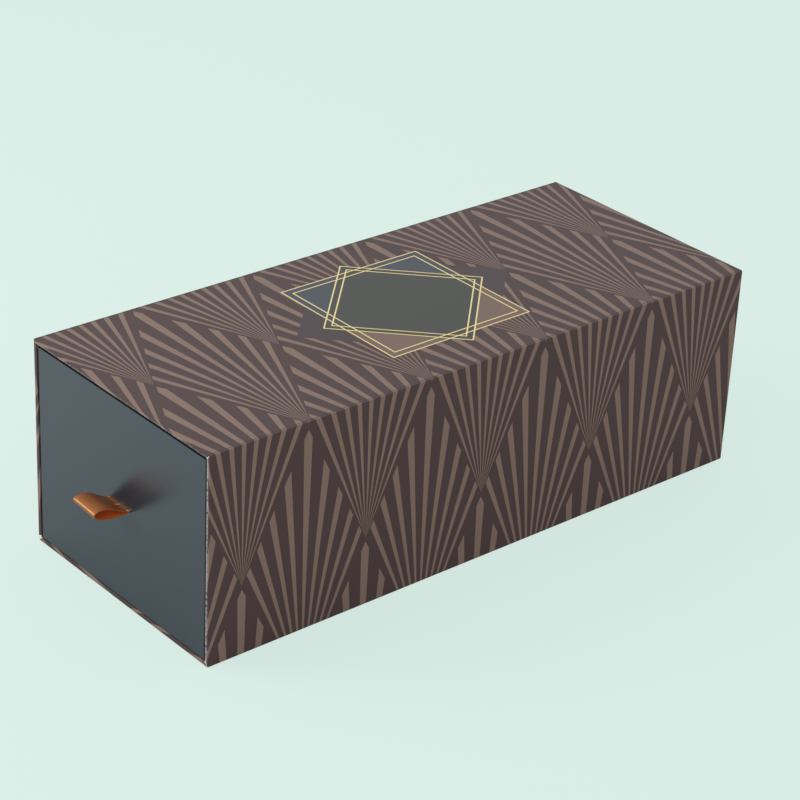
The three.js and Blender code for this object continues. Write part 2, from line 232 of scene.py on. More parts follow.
# The IOR of paper and board, and the roughness of matt film from its smoothest place to its roughest
PAPER_IOR = 1.45
FILM_SMOOTHEST = 0.46
FILM_ROUGHEST = 0.56

# The sockets of a Mix node that mixes colours
MIX_MASK = 0
MIX_UNDER = 6
MIX_OVER = 7
MIX_RESULT = 2

# How near two places have to be to count as the same, and the least turn that stays a sharp edge
TOUCH = 0.01 * MM
SMOOTH_ANGLE = math.radians(40)


def linear(value):
    """One sRGB hex colour as linear light."""
    channels = [int(value[i:i + 2], 16) / 255 for i in (1, 3, 5)]
    return (*Color(channels).from_srgb_to_scene_linear(), 1)


def add(tree, kind, inputs=None, **settings):
    """Adds one node. inputs gives each socket, by name or number, a value or the output that feeds it."""
    made = tree.nodes.new(kind)
    for name, value in settings.items():
        setattr(made, name, value)
    for socket, value in (inputs or {}).items():
        if isinstance(value, bpy.types.NodeSocket):
            tree.links.new(value, made.inputs[socket])
        else:
            made.inputs[socket].default_value = value
    return made


def layered(tree, ground, layers):
    """A ground colour with others laid over it in turn, each as far as its mask lets it show."""
    shown = linear(ground)
    for mask, colour in layers:
        inputs = {MIX_MASK: mask, MIX_UNDER: shown, MIX_OVER: linear(colour)}
        shown = add(tree, "ShaderNodeMix", inputs, data_type="RGBA").outputs[MIX_RESULT]
    return shown


def new_material(name):
    """A material with nothing in it yet, and its node tree."""
    material = bpy.data.materials.new(name)
    material.use_nodes = True
    material.node_tree.nodes.clear()
    return material, material.node_tree


def finish_material(tree, **inputs):
    """Ends a material with its shader. Each input has its socket's name, with _ for a space."""
    sockets = {name.replace("_", " "): value for name, value in inputs.items()}
    shader = add(tree, "ShaderNodeBsdfPrincipled", sockets)
    add(tree, "ShaderNodeOutputMaterial", {"Surface": shader.outputs[0]})


def make_camera():
    """The photograph's camera, as solved: turned to the box's middle, then moved and rolled a little."""
    back = Vector((
        math.sin(CAMERA_AZIMUTH) * math.cos(CAMERA_ELEVATION),
        -math.cos(CAMERA_AZIMUTH) * math.cos(CAMERA_ELEVATION),
        math.sin(CAMERA_ELEVATION),
    ))
    level = (-back).cross(Vector((0, 0, 1))).normalized()
    upright = level.cross(-back)
    right = math.cos(CAMERA_ROLL) * level + math.sin(CAMERA_ROLL) * upright
    up = math.cos(CAMERA_ROLL) * upright - math.sin(CAMERA_ROLL) * level
    place = CAMERA_TARGET + CAMERA_ASIDE * right + CAMERA_RAISED * up + CAMERA_DISTANCE * back
    data = bpy.data.cameras.new("camera")
    data.sensor_width = SENSOR_WIDTH
    data.lens = FOCAL_PIXELS / PICTURE_PIXELS * SENSOR_WIDTH
    camera = bpy.data.objects.new("camera", data)
    turn = Matrix((right, up, back)).transposed()
    camera.matrix_world = Matrix.Translation(place) @ turn.to_4x4()
    bpy.context.scene.collection.objects.link(camera)
    bpy.context.scene.camera = camera


def shown_ray(tree):
    """1 for a ray that shows its surface, straight or in a reflection, and 0 for one that only lights."""
    path = add(tree, "ShaderNodeLightPath").outputs
    seen = add(tree, "ShaderNodeMath", {0: path["Is Camera Ray"], 1: path["Is Glossy Ray"]})
    return add(tree, "ShaderNodeMath", {0: seen.outputs[0], 1: path["Is Transmission Ray"]}).outputs[0]


def soft_lamp(name, power, side, place):
    """A square lamp, turned to the box's middle."""
    data = bpy.data.lights.new(name, "AREA")
    data.energy = power
    data.size = side
    lamp = bpy.data.objects.new(name, data)
    lamp.location = place
    lamp.rotation_euler = (place - CAMERA_TARGET).to_track_quat("Z", "Y").to_euler()
    bpy.context.scene.collection.objects.link(lamp)


def make_light():
    """A soft lamp in front, on the left and above, a weaker one on the right and behind, and a pale
    room all round."""
    soft_lamp("key", KEY_POWER, KEY_SIDE, KEY_PLACE)
    soft_lamp("fill", FILL_POWER, FILL_SIDE, FILL_PLACE)
    world = bpy.data.worlds.new("studio")
    bpy.context.scene.world = world
    world.use_nodes = True
    tree = world.node_tree
    tree.nodes.clear()
    soft = add(tree, "ShaderNodeBackground", {"Color": linear(WHITE), "Strength": SOFT_LIGHT})
    room = add(tree, "ShaderNodeBackground", {"Color": linear(ROOM_COLOUR), "Strength": 1})
    mixed = add(tree, "ShaderNodeMixShader", {0: shown_ray(tree), 1: soft.outputs[0], 2: room.outputs[0]})
    add(tree, "ShaderNodeOutputWorld", {"Surface": mixed.outputs[0]})


def make_floor():
    """A pale mint card. The camera sees most of it evenly lit, with the object's shadow on it, and the
    light that it throws back on the object is neutral."""
    bpy.ops.object.select_all(action="DESELECT")
    bpy.ops.mesh.primitive_plane_add(size=FLOOR_SIDE, location=(0, 0, -FLOOR_DROP))
    floor = bpy.context.object
    floor.name = "studio_floor"
    material, tree = new_material("pale_mint_backdrop_card")
    card = layered(tree, BOUNCE_COLOUR, [(shown_ray(tree), BACKDROP_COLOUR)])
    lit = add(tree, "ShaderNodeBsdfDiffuse", {"Color": card})
    glow = {"Color": linear(BACKDROP_COLOUR), "Strength": BACKDROP_GLOW}
    even = add(tree, "ShaderNodeEmission", glow)
    camera = add(tree, "ShaderNodeLightPath").outputs["Is Camera Ray"]
    share = add(tree, "ShaderNodeMath", {0: camera, 1: BACKDROP_FLAT_SHARE}, operation="MULTIPLY")
    mixed = add(tree, "ShaderNodeMixShader", {0: share.outputs[0], 1: lit.outputs[0], 2: even.outputs[0]})
    add(tree, "ShaderNodeOutputMaterial", {"Surface": mixed.outputs[0]})
    floor.data.materials.append(material)


def worked_out(tree, flat, steps):
    """Works through a list of sums, each named and made from earlier ones, at a place on the paper."""
    parts = add(tree, "ShaderNodeSeparateXYZ", {0: flat})
    known = {"along": parts.outputs[0], "round": parts.outputs[1]}
    for name, operation, *values in steps:
        inputs = {i: known.get(value, value) for i, value in enumerate(values)}
        known[name] = add(tree, "ShaderNodeMath", inputs, operation=operation).outputs[0]
    return known


def any_of(tree, masks):
    """The most of several masks."""
    joined = masks[0]
    for mask in masks[1:]:
        joined = add(tree, "ShaderNodeMath", {0: joined, 1: mask}, operation="MAXIMUM").outputs[0]
    return joined


def fan_mask(tree, flat):
    """The share of ray ink at a place on the unrolled paper: fans of nine rays in a net of diamonds."""
    steps = [
        ("along_start", "SUBTRACT", "along", FAN_START_ALONG),
        ("round_start", "SUBTRACT", "round", FAN_START_ROUND),
        ("along_cells", "DIVIDE", "along_start", 2 * FAN_HALF_WIDTH),
        ("round_cells", "DIVIDE", "round_start", 2 * FAN_ROW),
        ("right_cells", "ADD", "round_cells", "along_cells"),
        ("left_cells", "SUBTRACT", "round_cells", "along_cells"),
        ("right", "FRACT", "right_cells"),
        ("left", "FRACT", "left_cells"),
        ("aside_share", "SUBTRACT", "right", "left"),
        ("both", "ADD", "right", "left"),
        ("up_share", "SUBTRACT", 2, "both"),
        ("aside", "MULTIPLY", "aside_share", FAN_HALF_WIDTH),
        ("up", "MULTIPLY", "up_share", FAN_ROW),
        ("turn", "ARCTAN2", "aside", "up"),
        ("angle", "ABSOLUTE", "turn"),
        ("pitch", "MULTIPLY_ADD", "angle", RAY_PITCH_GROWTH_SHARE, RAY_PITCH),
        ("ray", "DIVIDE", "angle", "pitch"),
        ("nearest", "ROUND", "ray"),
        ("miss_share", "SUBTRACT", "ray", "nearest"),
        ("miss", "ABSOLUTE", "miss_share"),
        ("pitch_here", "MULTIPLY", "pitch", "pitch"),
        ("spacing", "DIVIDE", "pitch_here", RAY_PITCH),
        ("miss_angle", "MULTIPLY", "miss", "spacing"),
        ("in_ray", "LESS_THAN", "miss_angle", RAY_HALF_WIDTH),
        ("in_fan", "LESS_THAN", "ray", LAST_RAY),
        ("right_cut", "MULTIPLY_ADD", "left", -CUT_SHARE_TAPER, CUT_SHARE_AT_TIP),
        ("left_cut", "MULTIPLY_ADD", "right", -CUT_SHARE_TAPER, CUT_SHARE_AT_TIP),
        ("clear_right", "GREATER_THAN", "right", "right_cut"),
        ("clear_left", "GREATER_THAN", "left", "left_cut"),
        ("clear", "MULTIPLY", "clear_right", "clear_left"),
        ("ray_in_fan", "MULTIPLY", "in_ray", "in_fan"),
        ("mask", "MULTIPLY", "ray_in_fan", "clear"),
    ]
    return worked_out(tree, flat, steps)["mask"]


def label_masks(tree, flat):
    """The label's printed fields: a diamond, a square's corners to either side of it, and a wing
    before and behind the square."""
    steps = [
        ("ahead", "SUBTRACT", "along", LABEL_CENTRE_ALONG),
        ("aside", "SUBTRACT", "round", TOP_MIDDLE_ROUND),
        ("ahead_far", "ABSOLUTE", "ahead"),
        ("aside_far", "ABSOLUTE", "aside"),
        ("both", "ADD", "ahead_far", "aside_far"),
        ("most", "MAXIMUM", "ahead_far", "aside_far"),
        ("diamond", "LESS_THAN", "both", LABEL_DIAMOND_HALF),
        ("square", "LESS_THAN", "most", LABEL_SQUARE_HALF),
        ("wide", "LESS_THAN", "both", LABEL_WING_HALF),
        ("past", "GREATER_THAN", "ahead_far", LABEL_SQUARE_HALF),
        ("wing", "MULTIPLY", "wide", "past"),
        ("right_half", "GREATER_THAN", "aside", 0),
        ("left_half", "LESS_THAN", "aside", 0),
        ("right", "MULTIPLY", "square", "right_half"),
        ("left", "MULTIPLY", "square", "left_half"),
    ]
    return worked_out(tree, flat, steps)


def bare_mitres(tree, flat):
    """Where the paper's white core shows at the mouth's corners."""
    masks = []
    for corner, way, outer_width, inner_width in MITRES:
        steps = [
            ("depth", "MULTIPLY", "along", -1),
            ("from_corner", "SUBTRACT", "round", corner),
            ("away", "MULTIPLY", "from_corner", way),
            ("past_mitre", "SUBTRACT", "away", "depth"),
            ("width", "MULTIPLY_ADD", "depth", (inner_width - outer_width) / RIM_DEPTH, outer_width),
            ("narrow", "LESS_THAN", "past_mitre", "width"),
            ("on_side", "GREATER_THAN", "past_mitre", -TOUCH),
            ("on_rim", "GREATER_THAN", "depth", 0),
            ("before_inside", "LESS_THAN", "depth", RIM_DEPTH + FOLD_RADIUS),
            ("near", "MULTIPLY", "narrow", "on_side"),
            ("rim", "MULTIPLY", "on_rim", "before_inside"),
            ("mask", "MULTIPLY", "near", "rim"),
        ]
        masks.append(worked_out(tree, flat, steps)["mask"])
    return any_of(tree, masks)


def painted_fold_highlights(tree, flat):
    """Where a painted highlight lies pale, in patches, along the fold at the mouth's inner edge."""
    patch_noise = add(tree, "ShaderNodeTexNoise", {"Vector": flat, "Scale": 1 / HIGHLIGHT_PATCH_LENGTH, "Detail": HIGHLIGHT_PATCH_LAYERS})
    limits = {"Value": patch_noise.outputs[0], "From Min": HIGHLIGHT_PATCH_STARTS, "From Max": HIGHLIGHT_PATCH_FULL}
    patches = add(tree, "ShaderNodeMapRange", limits).outputs[0]
    masks = []
    for start, end, strength in FOLD_HIGHLIGHT_EDGES:
        steps = [
            ("depth", "MULTIPLY", "along", -1),
            ("reach", "SUBTRACT", "depth", RIM_DEPTH - HIGHLIGHT_REACH),
            ("ramp", "DIVIDE", "reach", HALF * HIGHLIGHT_REACH),
            ("held", "MINIMUM", "ramp", 1),
            ("patchy", "MULTIPLY", "held", patches),
            ("after", "GREATER_THAN", "round", start),
            ("before", "LESS_THAN", "round", end),
            ("outside", "LESS_THAN", "depth", RIM_DEPTH + FOLD_RADIUS),
            ("here", "MULTIPLY", "after", "before"),
            ("near", "MULTIPLY", "here", "outside"),
            ("scaled", "MULTIPLY", "near", strength),
            ("mask", "MULTIPLY", "scaled", "patchy"),
        ]
        masks.append(worked_out(tree, flat, steps)["mask"])
    return any_of(tree, masks)


def fold_line(tree, flat, inset, width, share):
    """A painted line on the top, along each of its two long folds: the dark one is painted shade, the
    pale one a painted highlight.
    """
    steps = [
        ("aside", "SUBTRACT", "round", TOP_MIDDLE_ROUND),
        ("far", "ABSOLUTE", "aside"),
        ("past_line", "SUBTRACT", "far", TOP_MIDDLE_ROUND - inset),
        ("miss", "ABSOLUTE", "past_line"),
        ("on_line", "LESS_THAN", "miss", width / 2),
        ("mask", "MULTIPLY", "on_line", share),
    ]
    return worked_out(tree, flat, steps)["mask"]


def printed_paper(name, flat_from, is_wrap=False):
    """Offset printed art paper under matt film: flat dark brown ink with lighter rays, a faint even
    sheen, and a tooth so fine that it only softens the light. The wrap also has the label's fields, a
    painted shade line and a painted highlight line along the top's long folds, patches of painted
    highlight on the mouth's inner fold, and the paper's white core at the mouth's corners."""
    material, tree = new_material(name)
    flat = flat_from(tree)
    inks = [(fan_mask(tree, flat), RAY_INK)]
    if is_wrap:
        fields = label_masks(tree, flat)
        inks += [(fields[field], colour) for field, colour in LABEL_INKS.items()]
        # Lines along the top's long folds: the dark one is painted shade, the pale one a painted
        # highlight
        for inset, width, colour, share in FOLD_LINES:
            inks.append((fold_line(tree, flat, inset, width, share), colour))
        # Patches of painted highlight on the fold at the mouth's inner edge
        inks.append((painted_fold_highlights(tree, flat), FOLD_HIGHLIGHT_COLOUR))
        inks.append((bare_mitres(tree, flat), BARE_PAPER))
    fine = {"Vector": flat, "Scale": 1 / PAPER_TOOTH, "Detail": FILM_TOOTH_LAYERS}
    tooth = add(tree, "ShaderNodeTexNoise", fine)
    relief = {"Height": tooth.outputs[0], "Strength": 0.15, "Distance": TOOTH_DEPTH}
    sheen = {"Value": tooth.outputs[0], "To Min": FILM_SMOOTHEST, "To Max": FILM_ROUGHEST}
    finish_material(
        tree,
        Base_Color=layered(tree, GROUND_INK, inks),
        Roughness=add(tree, "ShaderNodeMapRange", sheen).outputs[0],
        IOR=1.34,
        Normal=add(tree, "ShaderNodeBump", relief).outputs[0],
    )
    return material


def unrolled(tree):
    """The wrap's places, as its paper lies unrolled."""
    return add(tree, "ShaderNodeUVMap", uv_map="unrolled").outputs[0]


def upright_at_back(tree):
    """The back sheet's places, turned so that its fans stand upright."""
    place = add(tree, "ShaderNodeTexCoord").outputs["Object"]
    turn = (QUARTER_TURN, 0, 0)
    return add(tree, "ShaderNodeMapping", {"Vector": place, "Rotation": turn}).outputs[0]


def along_base(tree):
    """The base sheet's places, turned so that along runs from the mouth to the back."""
    place = add(tree, "ShaderNodeTexCoord").outputs["Object"]
    turn = (0, 0, -QUARTER_TURN)
    return add(tree, "ShaderNodeMapping", {"Vector": place, "Rotation": turn}).outputs[0]


def fibre_paper(name, colour, pale, roughness, tooth_share, ior=PAPER_IOR, tint=WHITE):
    """Paper dyed or left plain: one even colour with a cloudy sheet formation that shows only close
    up, and a tooth. Under film it is smoother and mirrors its surroundings softly, in the film's tint."""
    material, tree = new_material(name)
    place = add(tree, "ShaderNodeTexCoord").outputs["Object"]
    formed = {"Vector": place, "Scale": 1 / CLOUD_LENGTH, "Detail": SHEET_CLOUD_LAYERS}
    cloud = add(tree, "ShaderNodeTexNoise", formed)
    tone = add(tree, "ShaderNodeMapRange", {"Value": cloud.outputs[0], "To Max": HALF})
    fine = {"Vector": place, "Scale": 1 / PAPER_TOOTH, "Detail": PAPER_TOOTH_LAYERS}
    tooth = add(tree, "ShaderNodeTexNoise", fine)
    relief = {"Height": tooth.outputs[0], "Strength": tooth_share, "Distance": TOOTH_DEPTH}
    finish_material(
        tree,
        Base_Color=layered(tree, colour, [(tone.outputs[0], pale)]),
        Roughness=roughness,
        IOR=ior,
        Specular_Tint=linear(tint),
        Normal=add(tree, "ShaderNodeBump", relief).outputs[0],
    )
    return material


def bare_paper():
    """The core of the papers, on their hidden side and where they are cut: matt, white and warm."""
    return fibre_paper("bare_white_paper_core", "#D9D4CB", "#E8E4DC", roughness=0.85, tooth_share=0.5)


def slate_satin_paper():
    """The drawer's cover, slate dyed paper under satin film: dark and bluish, almost without tooth, and
    glossy enough to show the strap and the mouth's rim as soft reflections."""
    return fibre_paper(
        "slate_dyed_paper_satin_film", "#1F2D38", "#23333E",
        roughness=0.3, tooth_share=0.06, ior=1.7, tint="#FFF6FF",
    )


def slate_lining_paper():
    """The drawer's lining, slate dyed paper without film: paler than the cover, and matt."""
    return fibre_paper("slate_dyed_lining_paper", "#3A4348", "#434C51", roughness=0.7, tooth_share=0.4)


def brown_lining_paper():
    """The sleeve's lining, dark brown dyed paper without film: matt, and nearly black in the shade."""
    return fibre_paper("dark_brown_lining_paper", "#3A3433", "#453E3C", roughness=0.75, tooth_share=0.4)


def greyboard():
    """Greyboard, pressed from waste paper: dull warm grey, cloudy, with darker and paler flecks and
    short fibres that lie flat."""
    material, tree = new_material("greyboard")
    place = add(tree, "ShaderNodeTexCoord").outputs["Object"]
    pressed = {"Vector": place, "Scale": 1 / CLOUD_LENGTH, "Detail": BOARD_CLOUD_LAYERS}
    cloud = add(tree, "ShaderNodeTexNoise", pressed)
    fleck = add(tree, "ShaderNodeTexVoronoi", {"Vector": place, "Scale": 1 / FLECK_SPACING})
    limits = {"Value": fleck.outputs["Distance"], "From Max": FLECK_SIZE_SHARE, "To Min": 1, "To Max": 0}
    dark = add(tree, "ShaderNodeMapRange", limits)
    lying = {"Vector": place, "Scale": 1 / FIBRE_LENGTH, "Detail": FIBRE_LAYERS}
    fibre = add(tree, "ShaderNodeTexNoise", lying)
    relief = {"Height": fibre.outputs[0], "Strength": 0.5, "Distance": TOOTH_DEPTH}
    pulp = [(cloud.outputs[0], "#A8A297"), (dark.outputs[0], "#6E675D")]
    finish_material(
        tree,
        Base_Color=layered(tree, "#8C867C", pulp),
        Roughness=0.92,
        IOR=PAPER_IOR,
        Normal=add(tree, "ShaderNodeBump", relief).outputs[0],
    )
    return material


def kraft_tape():
    """Gummed kraft paper tape: light brown, with fine fibres drawn out along the roll."""
    material, tree = new_material("kraft_stay_tape")
    place = add(tree, "ShaderNodeTexCoord").outputs["Object"]
    stretch = (1, 1 / KRAFT_FIBRE_STRETCH, 1 / KRAFT_FIBRE_STRETCH)
    drawn = add(tree, "ShaderNodeMapping", {"Vector": place, "Scale": stretch}).outputs[0]
    lying = {"Vector": drawn, "Scale": 1 / FIBRE_LENGTH, "Detail": FIBRE_LAYERS}
    fibre = add(tree, "ShaderNodeTexNoise", lying)
    relief = {"Height": fibre.outputs[0], "Strength": 0.3, "Distance": TOOTH_DEPTH}
    finish_material(
        tree,
        Base_Color=layered(tree, "#A98C63", [(fibre.outputs[0], "#D0BA92")]),
        Roughness=0.75,
        IOR=PAPER_IOR,
        Normal=add(tree, "ShaderNodeBump", relief).outputs[0],
    )
    return material


def gold_foil():
    """Hot stamped gold foil: a thin bright metal skin that follows the paper's tooth."""
    material, tree = new_material("gold_stamping_foil")
    place = add(tree, "ShaderNodeTexCoord").outputs["Object"]
    fine = {"Vector": place, "Scale": 1 / PAPER_TOOTH, "Detail": FILM_TOOTH_LAYERS}
    tooth = add(tree, "ShaderNodeTexNoise", fine)
    relief = {"Height": tooth.outputs[0], "Strength": 0.2, "Distance": TOOTH_DEPTH}
    finish_material(
        tree,
        Base_Color=linear("#FAE4A2"),
        Metallic=1.0,
        Roughness=0.32,
        Normal=add(tree, "ShaderNodeBump", relief).outputs[0],
    )
    return material


def painted_crease_highlights(tree, place, root):
    """Where a pale highlight is painted on short creases of the strap, worked out from the place across
    the strap, which the sums call along, and outward from its root, which they call round."""
    from_root = {"Vector": place, "Location": root, "Scale": (1, -1, 1)}
    seen = add(tree, "ShaderNodeMapping", from_root).outputs[0]
    masks = []
    for across, width, start, end in STRAP_CREASE_HIGHLIGHTS:
        steps = [
            ("aside", "SUBTRACT", "along", across),
            ("far", "ABSOLUTE", "aside"),
            ("narrow", "LESS_THAN", "far", width / 2),
            ("after", "GREATER_THAN", "round", start),
            ("before", "LESS_THAN", "round", end),
            ("here", "MULTIPLY", "after", "before"),
            ("mask", "MULTIPLY", "narrow", "here"),
        ]
        masks.append(worked_out(tree, seen, steps)["mask"])
    return any_of(tree, masks)


def strap_leather(name, colour, pale, pearl_share, roughness, ior, root):
    """One face of a strip of thin leather, with a fine pebbled grain and a tone that changes a little
    from place to place. The outside has a pearly topcoat, which mirrors its surroundings in pale gold,
    the inside is the matt rusty flesh side, and the cut edge is tan and nearly matt."""
    material, tree = new_material(name)
    place = add(tree, "ShaderNodeTexCoord").outputs["Object"]
    grown = {"Vector": place, "Scale": 1 / HIDE_LENGTH, "Detail": HIDE_LAYERS}
    cloud = add(tree, "ShaderNodeTexNoise", grown)
    # The cloud is the leather's own tone; the pale marks near the root are painted highlights on creases
    tones = [(cloud.outputs[0], pale), (painted_crease_highlights(tree, place, root), CREASE_HIGHLIGHT_COLOUR)]
    spaced = {"Vector": place, "Scale": 1 / GRAIN_SPACING}
    pebble = add(tree, "ShaderNodeTexVoronoi", spaced, feature="SMOOTH_F1")
    relief = {"Height": pebble.outputs["Distance"], "Strength": 0.35, "Distance": GRAIN_DEPTH}
    finish_material(
        tree,
        Base_Color=layered(tree, colour, tones),
        Metallic=pearl_share,
        Roughness=roughness,
        IOR=ior,
        Specular_Tint=linear(PEARL_TINT),
        Normal=add(tree, "ShaderNodeBump", relief).outputs[0],
    )
    return material


def pick(kind, test):
    """In edit mode, selects just the verts, edges or faces that pass a test, and gives one place of
    each."""
    modes = ("verts", "edges", "faces")
    bpy.ops.mesh.select_all(action="DESELECT")
    bpy.context.tool_settings.mesh_select_mode = [kind == mode for mode in modes]
    mesh = bmesh.from_edit_mesh(bpy.context.edit_object.data)
    picked = [element for element in getattr(mesh, kind) if test(element)]
    for element in picked:
        element.select_set(True)
    mesh.select_flush_mode()
    bmesh.update_edit_mesh(bpy.context.edit_object.data)
    return [(element if kind == "verts" else element.verts[0]).co.copy() for element in picked]


def at_height(element, height):
    """Whether all of an edge or a face lies at one height."""
    return all(abs(vert.co.z - height) < TOUCH for vert in element.verts)


def apply_modifier(piece, kind, **settings):
    """Gives a piece a modifier and makes its result the piece's own mesh."""
    modifier = piece.modifiers.new(kind.lower(), kind)
    for name, value in settings.items():
        setattr(modifier, name, value)
    bpy.context.view_layer.objects.active = piece
    bpy.ops.object.modifier_apply(modifier=modifier.name)


def shade(piece):
    """Lets a piece shade as flat faces with round edges between them."""
    bpy.ops.object.select_all(action="DESELECT")
    piece.select_set(True)
    bpy.context.view_layer.objects.active = piece
    bpy.ops.object.shade_smooth_by_angle(angle=SMOOTH_ANGLE)
    apply_modifier(piece, "WEIGHTED_NORMAL", keep_sharp=True)


def paper_shell(name, width, depth, low, high):
    """Paper wrapped round a block that stands along Z, its upright edges rounded, in edit mode."""
    bpy.ops.object.select_all(action="DESELECT")
    middle = (0, 0, (low + high) / 2)
    bpy.ops.mesh.primitive_cube_add(size=1, location=middle, scale=(width, depth, high - low))
    shell = bpy.context.object
    shell.name = name
    bpy.ops.object.transform_apply(location=True, rotation=True, scale=True)
    bpy.ops.object.mode_set(mode="EDIT")
    pick("edges", lambda edge: abs(edge.verts[0].co.z - edge.verts[1].co.z) > (high - low) / 2)
    bpy.ops.mesh.bevel(offset=EDGE_RADIUS, segments=EDGE_STEPS, affect="EDGES")
    return shell


def turn_over(width, depth, end, reach):
    """Opens the shell at one end and folds its paper flat over that end, with sharp inner corners."""
    pick("faces", lambda face: at_height(face, end))
    bpy.ops.mesh.delete(type="ONLY_FACE")
    pick("edges", lambda edge: at_height(edge, end))
    aside = end + math.copysign(reach, end)
    bpy.ops.mesh.extrude_region_move(TRANSFORM_OT_translate={"value": (0, 0, aside - end)})
    for side_x in (-1, 1):
        for side_y in (-1, 1):
            corner = Vector((side_x * width / 2, side_y * depth / 2, aside))
            near = 2 * EDGE_RADIUS
            pick("verts", lambda vert: (vert.co - corner).length < near)
            bpy.ops.mesh.merge(type="CENTER")
            (joined,) = pick("verts", lambda vert: (vert.co - corner).length < near)
            inner = Vector((corner.x - side_x * reach, corner.y - side_y * reach, end))
            bpy.ops.transform.translate(value=inner - joined)


def turn_in(width, depth, end, reach, length):
    """Folds the paper again, along the inside of the wall."""
    inner_x = width / 2 - reach + TOUCH
    inner_y = depth / 2 - reach + TOUCH
    pick("edges", lambda edge: at_height(edge, end) and all(
        abs(vert.co.x) < inner_x and abs(vert.co.y) < inner_y for vert in edge.verts
    ))
    inward = (0, 0, -math.copysign(length, end))
    bpy.ops.mesh.extrude_region_move(TRANSFORM_OT_translate={"value": inward})


def soften_folds(end):
    """Rounds the sharp folds round one end a little, as paper bends."""
    bmesh.from_edit_mesh(bpy.context.edit_object.data).normal_update()
    pick("edges", lambda edge: at_height(edge, end) and len(edge.link_faces) == 2 and (
        abs(edge.link_faces[0].normal.z - edge.link_faces[1].normal.z) > HALF
    ))
    bpy.ops.mesh.bevel(offset=FOLD_RADIUS, segments=FOLD_STEPS, affect="EDGES")


def finish_paper(shell):
    """Gives the paper its thickness, on the hidden side, and its shading."""
    bpy.ops.object.mode_set(mode="OBJECT")
    apply_modifier(
        shell, "SOLIDIFY", thickness=PAPER, offset=-1, use_even_offset=True, material_offset_rim=1,
    )
    shade(shell)


def unroll(wrap, low, high):
    """Gives the printed paper a UV map in metres: along from the mouth, and round from the top's left
    edge. The paper that is folded in goes on before the mouth, and the flaps behind the back edge."""
    def depths_at(x, z):
        """How deep a place lies under the top, the right side, the base and the left side."""
        return (high.z - z, high.x - x, z - low.z, x - low.x)

    mesh = wrap.data
    layer = mesh.uv_layers.new(name="unrolled")
    width = high.x - low.x
    height = high.z - low.z
    for face in mesh.polygons:
        depths = depths_at(face.center.x, face.center.z)
        side = depths.index(min(depths))
        for loop in face.loop_indices:
            x, y, z = mesh.vertices[mesh.loops[loop].vertex_index].co
            depth = depths_at(x, z)[side]
            ways_round = (x - low.x, width + high.z - z, width + height + high.x - x, z - high.z)
            along = y - low.y
            if along > (high.y - low.y) / 2:
                along += depth
            elif depth < RIM_DEPTH / 2:
                along -= depth
            else:
                along = -depth - along
            layer.uv[loop].vector = (along, ways_round[side])


def make_printed_wrap():
    """The sleeve's paper, one sheet round its four sides, turned in at the mouth and folded onto the
    back. It is made standing on the back, and then laid down."""
    low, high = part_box("sleeve_wrap")
    width = high.x - low.x
    depth = high.z - low.z
    mouth = -low.y
    rear = -high.y
    wrap = paper_shell("printed_wrap", width, depth, rear, mouth)
    wrap.data.materials.append(printed_paper("printed_art_paper_matt_film", unrolled, is_wrap=True))
    wrap.data.materials.append(bare_paper())
    turn_over(width, depth, mouth, RIM_DEPTH)
    turn_in(width, depth, mouth, RIM_DEPTH, MOUTH_TURN_IN)
    turn_over(width, depth, rear, BACK_FLAP)
    soften_folds(mouth)
    soften_folds(rear)
    bpy.ops.object.mode_set(mode="OBJECT")
    wrap.rotation_euler = (QUARTER_TURN, 0, 0)
    wrap.location = (0, 0, (low.z + high.z) / 2)
    bpy.ops.object.transform_apply(location=True, rotation=True, scale=True)
    finish_paper(wrap)
    unroll(wrap, low, high)
    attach(wrap, "sleeve")
    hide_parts("sleeve_wrap")


def cut_slot(cover, middle_x, face_y):
    """Cuts the slot for the strap through the paper on the drawer's front."""
    bpy.ops.object.select_all(action="DESELECT")
    middle = (middle_x, face_y, STRAP_ROOT_HEIGHT)
    size = (SLOT_WIDTH, SLOT_CUTTER_DEPTH, SLOT_HEIGHT)
    bpy.ops.mesh.primitive_cube_add(size=1, location=middle, scale=size)
    cutter = bpy.context.object
    apply_modifier(cover, "BOOLEAN", object=cutter, operation="DIFFERENCE", solver="EXACT")
    bpy.data.objects.remove(cutter)


def make_drawer_cover():
    """The drawer's slate paper, round its walls and under its base, turned in over the rim, with the
    strap's slot in its front."""
    low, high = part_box("drawer_wrap")
    width = high.x - low.x
    depth = high.y - low.y
    cover = paper_shell("drawer_cover", width, depth, low.z, high.z)
    cover.data.materials.append(slate_satin_paper())
    cover.data.materials.append(bare_paper())
    turn_over(width, depth, high.z, RIM_DEPTH)
    turn_in(width, depth, high.z, RIM_DEPTH, DRAWER_TURN_IN)
    soften_folds(high.z)
    soften_folds(low.z)
    bpy.ops.object.mode_set(mode="OBJECT")
    middle_x = (low.x + high.x) / 2
    cover.location = (middle_x, (low.y + high.y) / 2, 0)
    bpy.ops.object.transform_apply(location=True, rotation=True, scale=True)
    finish_paper(cover)
    cut_slot(cover, middle_x, low.y)
    shade(cover)
    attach(cover, "drawer")
    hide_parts("drawer_wrap")


def arc(centre_out, centre_up, radius, start, end, steps):
    """Places on a round bend, from one angle to another."""
    turns = [start + (end - start) * i / steps for i in range(steps + 1)]
    return [(centre_out + radius * math.cos(t), centre_up + radius * math.sin(t)) for t in turns]


def bezier(points, steps):
    """Places on a smooth curve from the first point to the last, which the points between them pull
    aside."""
    degree = len(points) - 1
    line = []
    for i in range(steps + 1):
        share = i / steps
        shares = [
            math.comb(degree, k) * share ** k * (1 - share) ** (degree - k) for k in range(degree + 1)
        ]
        place = [sum(part * point[axis] for part, point in zip(shares, points)) for axis in (0, 1)]
        line.append(tuple(place))
    return line


